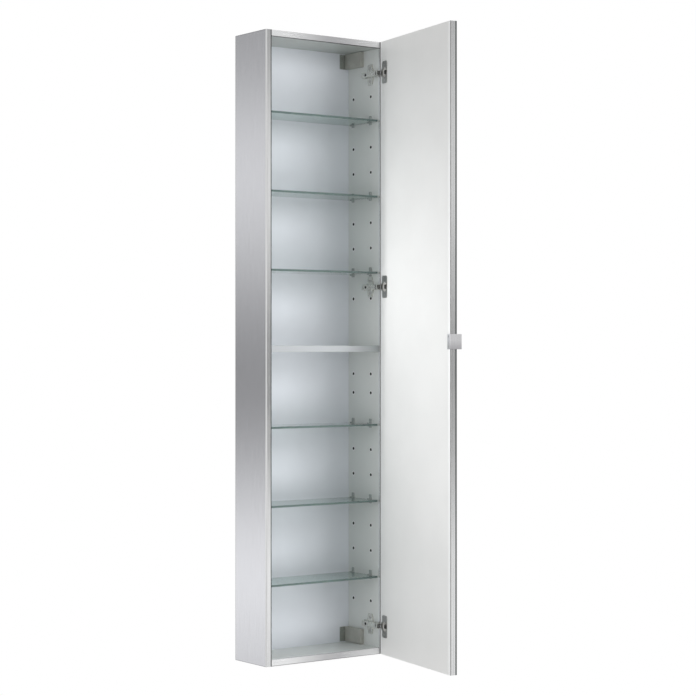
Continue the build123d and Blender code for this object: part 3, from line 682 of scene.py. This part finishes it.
def make_painted_shade_black():
    """Near-black pieces that paint the shade in the system holes and the hinge arms' slots, with a faint grain and
    a few paler scuffs.
    """
    graph = Graph("painted_shade_black")
    scuffs = graph.noise(500.0, 4.0, 0.7)
    graph.set(
        Base_Color=graph.mix(graph.ramp(scuffs, 0.45, 0.8), PAINTED_SHADE_BLACK, PAINTED_SHADE_BLACK_SCUFFED),
        Roughness=graph.even(scuffs, 0.45, 0.65),
        Normal=graph.bump(scuffs, 0.2, 0.04 * MM),
    )
    return graph.material


ALUMINIUM_CROSS = make_cross_aluminium()
PAINTED_SHADE_PLASTIC = make_painted_shade_black()
MELAMINE_BOARD = make_white_board("pale_melamine_board", MELAMINE)
SCREW_STEEL = make_screw_steel()
GALVANISED = make_galvanised()
HANGER_PLASTIC = make_grey_plastic()

LOOKS = {
    make_silver_board(): ["left_side_panel", "right_side_panel"],
    MELAMINE_BOARD: ["bottom_panel", "middle_shelf"],
    # The top panel's darker tone is painted shade.
    make_white_board("shaded_melamine_board", CEILING_SHADE): ["top_panel"],
    make_back_board(): ["back_panel"],
    make_white_board("white_door_board", DOOR_WHITE): ["door_board"],
    make_front_aluminium(): ["left_front_edge", "right_front_edge"],
    make_door_aluminium("door_free_edge_profile"): ["door_free_edge_profile"],
    make_door_aluminium("door_hinge_edge_profile"): ["door_hinge_edge_profile"],
    ALUMINIUM_CROSS: ["top_front_edge", "bottom_front_edge"],
    make_edging(): ["middle_shelf_edge"],
    make_glass(): [f"glass_shelf_{n}" for n in range(1, 7)],
    make_clear_plastic(): [f"shelf_supports_{n}" for n in range(1, 7)],
    make_beech(): ["panel_dowels"],
    SCREW_STEEL: [
        "back_screws",
        "hanger_screws",
        "hanger_adjusters",
        "hinge_plate_screws",
        "hinge_cup_screws",
        "handle_screws",
    ],
    HANGER_PLASTIC: ["hanger_bodies", "hanger_covers"],
    GALVANISED: ["hanger_hooks", "wall_plates"],
    make_arm_screw(): ["hinge_arm_screws"],
    make_nickel("bright_hinge_steel", HINGE_STEEL, 0.85): ["hinge_mounting_plates", "hinge_arms"],
    make_nickel("dark_link_steel", LINK_STEEL, 0.8): [
        "hinge_arm_pins",
        "hinge_outer_links",
        "hinge_inner_links",
        "hinge_cup_pins",
    ],
    make_cup(): ["hinge_cups"],
    make_mirror(): ["door_mirror"],
    make_adhesive(): ["mirror_adhesive"],
    make_handle(): ["door_handle"],
}

for material, names in LOOKS.items():
    for name in names:
        slots = NODES[name].data.materials
        slots.clear()
        slots.append(material)

# ---------------------------------------------------------------- small pieces that only show


def finish_piece(name, mesh, material):
    """Turns a bmesh into a piece of the cabinet body."""
    data = bpy.data.meshes.new(name)
    bmesh.ops.recalc_face_normals(mesh, faces=mesh.faces)
    mesh.to_mesh(data)
    mesh.free()
    data.materials.append(material)
    piece = bpy.data.objects.new(name, data)
    bpy.context.scene.collection.objects.link(piece)
    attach(piece, "cabinet")


def turned(mesh, centre, axis, across, profile, steps):
    """Adds a closed turned ring to the mesh: profile is (along the axis, radius) points."""
    other = axis.cross(across)
    rings = []
    for step in range(steps):
        angle = math.tau * step / steps
        out = across * math.cos(angle) + other * math.sin(angle)
        rings.append([mesh.verts.new(centre + axis * along + out * radius) for along, radius in profile])
    for step in range(steps):
        first, second = rings[step], rings[(step + 1) % steps]
        for index in range(len(profile)):
            after = (index + 1) % len(profile)
            mesh.faces.new((first[index], first[after], second[after], second[index]))


# Near-black plugs that paint the shade inside the free system holes, and pale lips round them, on both inner
# sides: how far their two columns stand behind the front edge, and their rises in millimetres from the middle of
# the fixed shelf.
# A section's points are (distance off the panel's face, radius).
HOLE_LINES = (37 * MM, 111 * MM)
HOLE_STEPS = (128, 256, 320, 448, 512, 640, -64, -112, -256, -320, -448, -512, -640)
LIP_SECTION = ((0.0, 3.95 * MM), (0.15 * MM, 4.0 * MM), (0.15 * MM, 5.6 * MM), (0.0, 6.0 * MM))
HOLE_SHADE_SECTION = (
    (-0.6 * MM, 0.001 * MM),
    (-0.6 * MM, 2.49 * MM),
    (0.02 * MM, 2.49 * MM),
    (0.02 * MM, 3.9 * MM),
    (0.12 * MM, 3.9 * MM),
    (0.12 * MM, 2.4 * MM),
    (-0.4 * MM, 2.4 * MM),
    (-0.4 * MM, 0.001 * MM),
)
LIP_STEPS = 28

lips = bmesh.new()
hole_shades = bmesh.new()
for side in (-1, 1):
    for line in HOLE_LINES:
        for rise in HOLE_STEPS:
            centre = Vector((side * INNER_X, FRONT_Y + line, SHELF_MIDDLE + rise * MM))
            turned(lips, centre, Vector((-side, 0, 0)), Vector((0, 1, 0)), LIP_SECTION, LIP_STEPS)
            turned(hole_shades, centre, Vector((-side, 0, 0)), Vector((0, 1, 0)), HOLE_SHADE_SECTION, LIP_STEPS)
finish_piece("system_hole_lips", lips, make_rim())
finish_piece("system_hole_shade_plugs", hole_shades, PAINTED_SHADE_PLASTIC)

# Near-black blocks inside the hinge arms, seen through the slot in each arm's top: painted shade in the arms'
# channels.
SLOT_SHADE_BELOW_TOP = 2.1 * MM
SLOT_SHADE_BEHIND_NOSE = 6.6 * MM
SLOT_SHADE_SIZE = Vector((3.2 * MM, 5.2 * MM, 9.2 * MM))
SLOT_SHADE_BREAK = 0.3 * MM

# These blocks paint the shade in the slots.
stops = bmesh.new()
for height in levels("hinge_arms"):
    corner = ARM_LOW + Vector((SLOT_SHADE_BELOW_TOP, SLOT_SHADE_BEHIND_NOSE, 0))
    centre = Vector((corner.x + SLOT_SHADE_SIZE.x / 2, corner.y + SLOT_SHADE_SIZE.y / 2, height))
    made = bmesh.ops.create_cube(stops, size=1.0)["verts"]
    for vert in made:
        vert.co = centre + Vector(along * reach for along, reach in zip(vert.co, SLOT_SHADE_SIZE))
bmesh.ops.bevel(stops, geom=stops.edges[:], offset=SLOT_SHADE_BREAK, segments=2, affect="EDGES")
finish_piece("hinge_arm_slot_shades", stops, PAINTED_SHADE_PLASTIC)

# Heads of the wall screws, sunk in the wall plates. A section's points are (distance off the wall, radius).
WALL_SCREW_X = WALL_HOLES["spacing_x_mm"] / 2 * MM
WALL_SCREW_Z = WALL_HOLES["spacing_y_mm"] / 2 * MM
WALL_SCREW_SECTION = (
    (0.1 * MM, 0.001 * MM),
    (0.1 * MM, 2.4 * MM),
    (0.95 * MM, 2.4 * MM),
    (1.9 * MM, 4.3 * MM),
    (1.95 * MM, 1.5 * MM),
    (1.2 * MM, 1.1 * MM),
    (1.15 * MM, 0.001 * MM),
)
WALL_SCREW_STEPS = 24

heads = bmesh.new()
for side in (-1, 1):
    for up in (-1, 1):
        centre = Vector((side * WALL_SCREW_X, 0, up * WALL_SCREW_Z))
        turned(heads, centre, Vector((0, -1, 0)), Vector((1, 0, 0)), WALL_SCREW_SECTION, WALL_SCREW_STEPS)
finish_piece("wall_screw_heads", heads, GALVANISED)

# ---------------------------------------------------------------- soft edges on the real pieces

# Width of the broken edge on each piece, in millimetres. The corners only lose material.
EDGE_BREAKS = {
    0.35: ["hinge_cups", "hinge_arms", "hinge_mounting_plates", "door_handle", "wall_plates"],
    0.4: ["hanger_covers"],
    0.25: ["door_board", "middle_shelf", "left_side_panel", "right_side_panel"],
    0.7: ["left_front_edge", "right_front_edge", "door_free_edge_profile", "door_hinge_edge_profile"],
}
EDGE_SEGMENTS = 2
WELD_DISTANCE = 0.002 * MM
SHARP_ANGLE = math.radians(35)

for width, names in EDGE_BREAKS.items():
    for name in names:
        piece = NODES[name]
        weld = piece.modifiers.new("weld", "WELD")
        weld.merge_threshold = WELD_DISTANCE
        bevel = piece.modifiers.new("broken_edge", "BEVEL")
        bevel.width = width * MM
        bevel.segments = EDGE_SEGMENTS
        bevel.limit_method = "ANGLE"
        bevel.angle_limit = SHARP_ANGLE
        bevel.harden_normals = False

# ---------------------------------------------------------------- camera

CAMERA_PLACE = Vector((-2.760, -3.995, 0.0))
CAMERA_AIM = Vector((0.5908, 0.8068, 0.0))
LENS = 99.2
SENSOR = 36.0

camera_data = bpy.data.cameras.new("camera")
camera_data.lens = LENS
camera_data.sensor_width = SENSOR
camera = bpy.data.objects.new("camera", camera_data)
camera.location = CAMERA_PLACE
camera.rotation_euler = CAMERA_AIM.to_track_quat("-Z", "Y").to_euler()
bpy.context.scene.collection.objects.link(camera)
bpy.context.scene.camera = camera

# ---------------------------------------------------------------- world and lights

# How bright the world is as a light, and as the camera sees it behind the object.
AMBIENT = 0.71
BACKDROP = 1.0

bpy.context.scene.view_settings.view_transform = "Standard"
world = bpy.data.worlds.new("white_studio")
bpy.context.scene.world = world
world.use_nodes = True
sky = world.node_tree
sky.nodes.clear()
to_camera = sky.nodes.new("ShaderNodeLightPath").outputs["Is Camera Ray"]
level = sky.nodes.new("ShaderNodeMapRange")
level.inputs["To Min"].default_value = AMBIENT
level.inputs["To Max"].default_value = BACKDROP
sky.links.new(to_camera, level.inputs["Value"])
background = sky.nodes.new("ShaderNodeBackground")
background.inputs["Color"].default_value = (1.0, 1.0, 1.0, 1.0)
sky.links.new(level.outputs["Result"], background.inputs["Strength"])
world_output = sky.nodes.new("ShaderNodeOutputWorld")
sky.links.new(background.outputs[0], world_output.inputs["Surface"])


# Each lamp is (name, place, point it faces, width and height, power, spread in degrees). Two narrow ones
# shine past the left side on the open door, and two broad ones light the ends from the front.
LAMPS = (
    ("door_light_high", (-0.62, -0.11, 0.22), (0.16, -0.16, 0.20), (0.06, 0.4), 0.64, 85),
    ("door_light_low", (-0.82, -0.12, -0.20), (0.10, -0.56, -0.24), (0.06, 0.6), 1.25, 110),
    ("front_light_high", (0.35, -2.4, 1.15), (0.0, 0.0, 0.70), (0.6, 1.0), 14.0, 180),
    ("front_light_low", (0.35, -2.4, -1.15), (0.0, 0.0, -0.70), (0.6, 1.0), 12.0, 180),
)


def soft_light(name, place, target, size, power, spread_angle):
    """A rectangular lamp at place that faces target and isn't itself seen or mirrored."""
    data = bpy.data.lights.new(name, "AREA")
    data.shape = "RECTANGLE"
    data.size, data.size_y = size
    data.energy = power
    data.spread = math.radians(spread_angle)
    lamp = bpy.data.objects.new(name, data)
    lamp.location = place
    lamp.rotation_euler = (Vector(target) - Vector(place)).to_track_quat("-Z", "Y").to_euler()
    lamp.visible_camera = False
    lamp.visible_glossy = False
    bpy.context.scene.collection.objects.link(lamp)


for lamp_measures in LAMPS:
    soft_light(*lamp_measures)


def flat_panel(name, corners):
    """A one-face mesh through four corners."""
    mesh = bpy.data.meshes.new(name)
    mesh.from_pydata([tuple(corner) for corner in corners], [], [(0, 1, 2, 3)])
    panel = bpy.data.objects.new(name, mesh)
    bpy.context.scene.collection.objects.link(panel)
    return panel


# Tall cards that the metal mirrors: one behind the left side for the silver side panel, one in front
# for the front edges, and a bright one to the left for the rounded corners. Each is
# (name, centre, direction along it, half width).
CARD_HALF_HEIGHT = 1.5
BANDED_CARDS = (
    ("side_card", (-2.0, 2.45, 0.0), (0.8068, 0.5908, 0.0), 1.3),
    ("front_card", (1.25, -2.85, 0.0), (0.892, 0.452, 0.0), 1.3),
)
CORNER_CARD = ("corner_card", (-2.6, -0.4, 0.0), (0.1, 1.0, 0.0), 0.7)
CORNER_GLOW = 3.2
# Each band is (height on the card as a share of its half height, brightness).
CORNER_BANDS = ((-1.0, CORNER_GLOW), (1.0, CORNER_GLOW))
CARD_BANDS = (
    (-1.0, 0.60),
    (-0.82, 0.78),
    (-0.64, 1.06),
    (-0.45, 0.82),
    (-0.25, 0.38),
    (-0.08, 0.27),
    (0.10, 0.40),
    (0.28, 0.68),
    (0.47, 0.86),
    (0.62, 0.70),
    (0.80, 0.40),
    (1.0, 0.34),
)


def make_card(name, bands):
    """An emitting card whose brightness goes by height through the bands."""
    graph = Graph(name)
    tree = graph.tree
    tree.nodes.remove(graph.shader)
    height = graph.ramp(graph.axes()[2], -CARD_HALF_HEIGHT, CARD_HALF_HEIGHT)
    stops = graph.add("ShaderNodeValToRGB")
    ramp = stops.color_ramp
    ramp.interpolation = "B_SPLINE"
    while len(ramp.elements) > 1:
        ramp.elements.remove(ramp.elements[-1])
    for index, (share, bright) in enumerate(bands):
        position = (share + 1) / 2
        element = ramp.elements[0] if index == 0 else ramp.elements.new(position)
        element.position = position
        element.color = (bright, bright, bright, 1.0)
    graph.feed(stops.inputs[0], height)
    glow = graph.add("ShaderNodeEmission")
    graph.feed(glow.inputs["Color"], stops.outputs["Color"])
    output = next(node for node in tree.nodes if node.type == "OUTPUT_MATERIAL")
    tree.links.new(glow.outputs[0], output.inputs["Surface"])
    return graph.material


def light_card(name, centre, along, half_width, material):
    """A tall upright card that only metal and glass mirror."""
    corners = [
        Vector(centre) + Vector(along) * side * half_width + Vector((0, 0, up * CARD_HALF_HEIGHT))
        for side, up in ((-1, -1), (1, -1), (1, 1), (-1, 1))
    ]
    card = flat_panel(name, corners)
    card.data.materials.append(material)
    card.visible_camera = False
    card.visible_diffuse = False


BANDED = make_card("banded_light_card", CARD_BANDS)
for card_measures in BANDED_CARDS:
    light_card(*card_measures, BANDED)
light_card(*CORNER_CARD, make_card("bright_light_card", CORNER_BANDS))

# ---------------------------------------------------------------- floor

FLOOR_DROP = 0.55
FLOOR_HALF = 1.45


def make_floor():
    """Pale studio floor with a soft cloud of tone and gloss."""
    graph = Graph("pale_floor")
    graph.set(
        Base_Color=graph.mix(graph.noise(2.0, 4.0), FLOOR_LOW, FLOOR_HIGH),
        Roughness=graph.even(graph.noise(30.0), 0.55, 0.68),
    )
    return graph.material


FLOOR_CORNERS = [
    Vector((x * FLOOR_HALF, y * FLOOR_HALF, LOW.z - FLOOR_DROP))
    for x, y in ((-1, -1), (1, -1), (1, 1), (-1, 1))
]
floor = flat_panel("floor", FLOOR_CORNERS)
floor.data.materials.append(make_floor())
